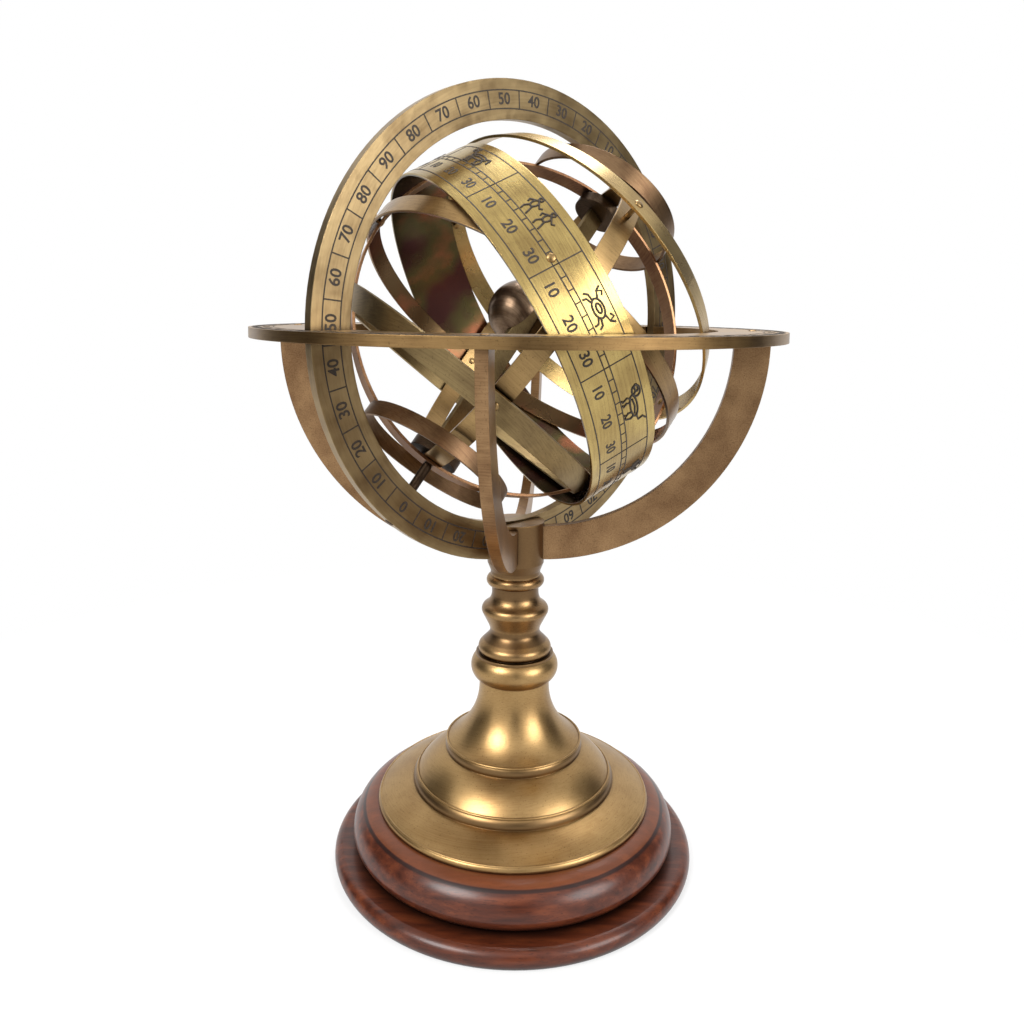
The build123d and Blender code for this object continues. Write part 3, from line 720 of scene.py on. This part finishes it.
SCORPION = (
    [oval(0.8, 0.46, 0.26, 0.15)]
    + [[(1.06, 0.46), (1.34, 0.4), (1.6, 0.5), (1.7, 0.76), (1.54, 0.94), (1.42, 0.84)]]
    + [[(0.6, 0.46 + s * 0.08), (0.4, 0.46 + s * 0.26), (0.24, 0.46 + s * 0.14)] for s in BOTH]
    + [[(x, 0.46 + s * 0.13), (x + 0.04, 0.46 + s * 0.32)] for x in (0.72, 0.86, 0.98) for s in BOTH]
)
ARCHER = beast(
    [(0.6, 0.62), (0.56, 0.86)],
    oval(0.56, 0.94, 0.06, 0.07),
    arc(0.08, 0.76, 0.3, -60, 60),
    [(0.16, 0.76), (0.8, 0.78)],
    head=False,
)
GOAT = [
    oval(0.86, 0.54, 0.3, 0.16),
    oval(0.42, 0.8, 0.12, 0.08),
    [(0.62, 0.62), (0.5, 0.74)],
    [(0.44, 0.88), (0.66, 1.0)],
    [(0.7, 0.42), (0.6, 0.22), (0.68, 0.04)],
    [(0.84, 0.4), (0.8, 0.2), (0.88, 0.04)],
    [(1.14, 0.5), (1.4, 0.32), (1.62, 0.44), (1.58, 0.72)],
    [(1.46, 0.86), (1.58, 0.72), (1.74, 0.82)],
    [(1.1, 0.4), (1.36, 0.2), (1.7, 0.38)],
]
WATER_CARRIER = person(0.68, oval(1.06, 0.74, 0.13, 0.09)) + WAVES
FISHES = fish(0.66, 0.72, 1) + fish(1.34, 0.28, -1) + [[(0.96, 0.72), (1.1, 0.5), (1.04, 0.28)]]

FIGURES = (RAM, BULL, TWINS, CRAB, LION, MAIDEN, SCALES, SCORPION, ARCHER, GOAT, WATER_CARRIER, FISHES)

# Zodiac band: edge lines, a ladder of degrees, cross lines, figures and numbers
FIRST_FIGURE = 4  # the one in the first sector
SECTOR = 30  # degrees
BAND_START = 9.0
BAND_MARGIN = 2.5  # from the band's edge to its outer line
BAND_EDGE = ZODIAC_WIDTH / 2 - BAND_MARGIN
BAND_LINE = 0.3
BAND_HALF_LINE = 0.003  # as an angle
BAND_NUMBER = 4.0
LADDER_LOW = -0.7
LADDER_HIGH = 0.9
RUNGS = 8  # in one sector
FIGURE_HEIGHT = 6.1
FIGURE_LINE = 0.56

band = Engraving(band_face, reading=1)
for across in (-BAND_EDGE, BAND_EDGE, LADDER_LOW, LADDER_HIGH):
    band.circle(across, BAND_LINE)
for sector in range(360 // SECTOR):
    start = radians(BAND_START + SECTOR * sector)
    band.block(start - BAND_HALF_LINE, start + BAND_HALF_LINE, -BAND_EDGE, BAND_EDGE)
    for rung in range(RUNGS):
        place = start + radians(SECTOR * rung / RUNGS)
        band.block(place - BAND_HALF_LINE, place + BAND_HALF_LINE, LADDER_LOW, LADDER_HIGH, 1)
    figure = FIGURES[(sector + FIRST_FIGURE) % len(FIGURES)]
    middle = start + radians(SECTOR / 2)
    band.strokes(figure, middle, (LADDER_HIGH + BAND_EDGE) / 2, FIGURE_HEIGHT, ZODIAC_RADIUS, FIGURE_LINE)
    for value in range(TENS, SECTOR + 1, TENS):
        place = start + radians(value - TENS / 2)
        band.number(value, place, (LADDER_LOW - BAND_EDGE) / 2, BAND_NUMBER, ZODIAC_RADIUS)
band.finish("zodiac_marks", "sphere")


# Heads: a low dome on each rivet, pin and pivot, as its radius and height
RIVET_OUTSIDE = (1.25, 0.5)
RIVET_INSIDE = (1.1, 0.4)
PIN_HEAD = (1.3, 0.35)
PIVOT_HEAD = (1.3, 0.35)
PIVOT_HEAD_SINK = 0.02
DOME_SINK = 0.05
DOME_SEGMENTS = 20
DOME_RINGS = 5


def dome(mesh, seat, axis, radius, height):
    """A low dome with its foot a little below its seat."""
    side = axis.cross(UP if abs(axis.z) < 0.9 else Vector((1, 0, 0))).normalized()
    ahead = axis.cross(side)
    slopes = [pi / 2 * ring / DOME_RINGS for ring in range(DOME_RINGS)]
    profile = [(radius, -DOME_SINK)] + [(radius * cos(slope), height * sin(slope)) for slope in slopes]
    loops = []
    for reach, rise in profile:
        loop = []
        for k in range(DOME_SEGMENTS):
            turn = 2 * pi * k / DOME_SEGMENTS
            spoke = side * cos(turn) + ahead * sin(turn)
            loop.append(mesh.verts.new(seat + spoke * reach * MM + axis * rise * MM))
        loops.append(loop)
    foot = mesh.verts.new(seat - axis * DOME_SINK * MM)
    top = mesh.verts.new(seat + axis * height * MM)
    for k in range(DOME_SEGMENTS):
        other = (k + 1) % DOME_SEGMENTS
        mesh.faces.new((foot, loops[0][other], loops[0][k]))
        for low, high in zip(loops, loops[1:]):
            mesh.faces.new((low[k], low[other], high[other], high[k]))
        mesh.faces.new((loops[-1][k], loops[-1][other], top))


def separate_pieces(node):
    """The points of each solid of a node, in the order of the node's mesh."""
    mesh = bmesh.new()
    mesh.from_mesh(frame["nodes"][node].data)
    bmesh.ops.remove_doubles(mesh, verts=mesh.verts, dist=SAME_POINT * MM)
    seen = set()
    found = []
    for start in mesh.verts:
        if start in seen:
            continue
        seen.add(start)
        group, reached = [], [start]
        while reached:
            vert = reached.pop()
            group.append(vert.co.copy())
            for edge in vert.link_edges:
                other = edge.other_vert(vert)
                if other not in seen:
                    seen.add(other)
                    reached.append(other)
        found.append(group)
    mesh.free()
    return found


heads = bmesh.new()
for points in separate_pieces("hoop_rivets"):
    middle = sum(points, Vector()) / len(points)
    outward = (middle - CENTRE).normalized()
    tops = [(point - CENTRE).dot(outward) for point in points]
    dome(heads, CENTRE + outward * max(tops), outward, *RIVET_OUTSIDE)
    dome(heads, CENTRE + outward * min(tops), -outward, *RIVET_INSIDE)
smooth(new_piece("rivet_heads", heads, "sphere", "hoop_brass"))

heads = bmesh.new()
for points in separate_pieces("arm_pins"):
    middle = sum(points, Vector()) / len(points)
    middle.z = max(point.z for point in points)
    dome(heads, middle, UP, *PIN_HEAD)
smooth(new_piece("pin_heads", heads, "stand", "horizon_brass"))

heads = bmesh.new()
for spoke in (POLE, -POLE):
    dome(heads, CENTRE + spoke * (RING_OUTER - PIVOT_HEAD_SINK) * MM, spoke, *PIVOT_HEAD)
smooth(new_piece("pivot_heads", heads, "meridian", "dark_brass"))


# Beads on the edges of the foot's steps, as their radius and height
FOOT_BEADS = ((29.25, 25.2), (20.3, 34.75), (40.35, 18.75))
BEAD_THICKNESS = 0.38  # from its middle to its surface
BEAD_SEGMENTS = 160
BEAD_SIDES = 10


def ring_bead(mesh, radius, height):
    """A thin round bead turned on the foot."""
    loops = []
    for k in range(BEAD_SEGMENTS):
        turn = 2 * pi * k / BEAD_SEGMENTS
        spoke = Vector((cos(turn), sin(turn), 0))
        loop = []
        for side in range(BEAD_SIDES):
            roll = 2 * pi * side / BEAD_SIDES
            out = spoke * (radius + BEAD_THICKNESS * cos(roll))
            loop.append(mesh.verts.new((out + UP * (height + BEAD_THICKNESS * sin(roll))) * MM))
        loops.append(loop)
    for first, second in zip(loops, loops[1:] + loops[:1]):
        for side in range(BEAD_SIDES):
            other = (side + 1) % BEAD_SIDES
            mesh.faces.new((first[side], first[other], second[other], second[side]))


beads = bmesh.new()
for radius, height in FOOT_BEADS:
    ring_bead(beads, radius, height)
smooth(new_piece("foot_beads", beads, "stand", "bell_brass"))


# Camera, at the photograph's angle
CAMERA_PLACE = Vector((5.39, -256.14, 166.13)) * MM
CAMERA_YAW = -0.0276
CAMERA_PITCH = 0.0949
CAMERA_ROLL = 0.0113
SENSOR_WIDTH = 36.0
LENS = 30.52
VIEW_SHIFT = -0.1205
NEAREST_SEEN = 0.01

ahead = Vector((sin(CAMERA_YAW) * cos(CAMERA_PITCH), cos(CAMERA_YAW) * cos(CAMERA_PITCH), -sin(CAMERA_PITCH)))
level_right = Vector((cos(CAMERA_YAW), -sin(CAMERA_YAW), 0))
level_up = level_right.cross(ahead)
right = level_right * cos(CAMERA_ROLL) + level_up * sin(CAMERA_ROLL)
above = level_up * cos(CAMERA_ROLL) - level_right * sin(CAMERA_ROLL)
camera = bpy.data.objects.new("camera", bpy.data.cameras.new("camera"))
camera.data.sensor_width = SENSOR_WIDTH
camera.data.lens = LENS
camera.data.shift_y = VIEW_SHIFT
camera.data.clip_start = NEAREST_SEEN
camera.matrix_world = Matrix.Translation(CAMERA_PLACE) @ Matrix((right, above, -ahead)).transposed().to_4x4()
bpy.context.scene.collection.objects.link(camera)
bpy.context.scene.camera = camera


# Floor, world, soft lamps and dark cards, in metres
FLOOR_SIZE = 3.0
FLOOR_GREY = (0.9, 0.9, 0.9)
FLOOR_WHITE_FROM = 0.3  # the distance where the floor is all white to the camera
FLOOR_WHITENESS = 0.6  # under the object
WORLD_LIGHT = 0.55
WORLD_SEEN = 1.0
AIM = Vector((0, 0, 0.12))
LAMP_SIZE = 0.5
LAMPS = {
    "key_lamp": ((-0.55, -0.6, 0.75), 9.0),
    "fill_lamp": ((0.7, -0.5, 0.45), 5.0),
    "top_lamp": ((0.1, 0.35, 0.9), 5.0),
}
DARK_CARDS = {
    "dark_card_left": ((-0.75, 0.05, 0.25), (0.8, 0.9)),
    "dark_card_right": ((0.8, 0.1, 0.25), (0.8, 0.9)),
    "dark_card_front": ((0.1, -0.9, 0.3), (0.3, 0.8)),
}


def seen_or_mirrored(tree):
    """1 for what the camera sees, also in metal and glass."""
    path = tree.nodes.new("ShaderNodeLightPath")
    first = tree.nodes.new("ShaderNodeMath")
    second = tree.nodes.new("ShaderNodeMath")
    first.operation = second.operation = "MAXIMUM"
    tree.links.new(path.outputs["Is Camera Ray"], first.inputs[0])
    tree.links.new(path.outputs["Is Glossy Ray"], first.inputs[1])
    tree.links.new(first.outputs[0], second.inputs[0])
    tree.links.new(path.outputs["Is Transmission Ray"], second.inputs[1])
    return second.outputs[0]


def flat_sheet(name, size):
    """A level square sheet at the origin."""
    mesh = bmesh.new()
    bmesh.ops.create_grid(mesh, x_segments=1, y_segments=1, size=size)
    data = bpy.data.meshes.new(name)
    mesh.to_mesh(data)
    mesh.free()
    sheet = bpy.data.objects.new(name, data)
    bpy.context.scene.collection.objects.link(sheet)
    return sheet


def aimed(place):
    """The turn that faces the object from a place."""
    return (AIM - Vector(place)).to_track_quat("-Z", "Y").to_euler()


def make_floor():
    """A lit floor that turns plain white away from the object, where it is seen or mirrored."""
    floor = flat_sheet("floor", FLOOR_SIZE)
    paint = Paint("floor")
    paint.tree.nodes.clear()
    lit = paint.add("BsdfDiffuse", Color=FLOOR_GREY)
    plain = paint.add("Emission", Strength=1.0)
    whiteness = paint.add("MapRange", Value=paint.length(paint.place()))
    whiteness.inputs["From Max"].default_value = FLOOR_WHITE_FROM
    whiteness.inputs["To Min"].default_value = FLOOR_WHITENESS
    share = paint.math("MULTIPLY", seen_or_mirrored(paint.tree), whiteness.outputs[0])
    blend = paint.add("MixShader", _0=share, _1=lit.outputs[0], _2=plain.outputs[0])
    paint.add("OutputMaterial", Surface=blend.outputs[0])
    floor.data.materials.append(paint.material)


def make_world():
    """A white world that lights the object less than it shows."""
    world = bpy.data.worlds.new("world")
    world.use_nodes = True
    tree = world.node_tree
    background = tree.nodes["Background"]
    background.inputs["Color"].default_value = (*WHITE, 1)
    strength = tree.nodes.new("ShaderNodeMapRange")
    strength.inputs["To Min"].default_value = WORLD_LIGHT
    strength.inputs["To Max"].default_value = WORLD_SEEN
    tree.links.new(seen_or_mirrored(tree), strength.inputs["Value"])
    tree.links.new(strength.outputs[0], background.inputs["Strength"])
    bpy.context.scene.world = world


def make_lamp(name, place, energy):
    lamp = bpy.data.lights.new(name, "AREA")
    lamp.shape = "DISK"
    lamp.size = LAMP_SIZE
    lamp.energy = energy
    holder = bpy.data.objects.new(name, lamp)
    holder.location = place
    holder.rotation_euler = aimed(place)
    bpy.context.scene.collection.objects.link(holder)


def make_dark_card(name, place, size):
    """A dark card that only the metal mirrors, out of the camera's sight."""
    card = flat_sheet(name, 0.5)
    card.scale = (*size, 1)
    card.location = place
    card.rotation_euler = aimed(place)
    card.visible_camera = False
    card.visible_diffuse = False
    card.visible_shadow = False
    card.data.materials.append(Paint(name).finish(Base_Color=CARD_BLACK, Roughness=0.9))


make_floor()
make_world()
for name, (place, energy) in LAMPS.items():
    make_lamp(name, place, energy)
for name, (place, size) in DARK_CARDS.items():
    make_dark_card(name, place, size)
bpy.context.scene.view_settings.view_transform = "Standard"
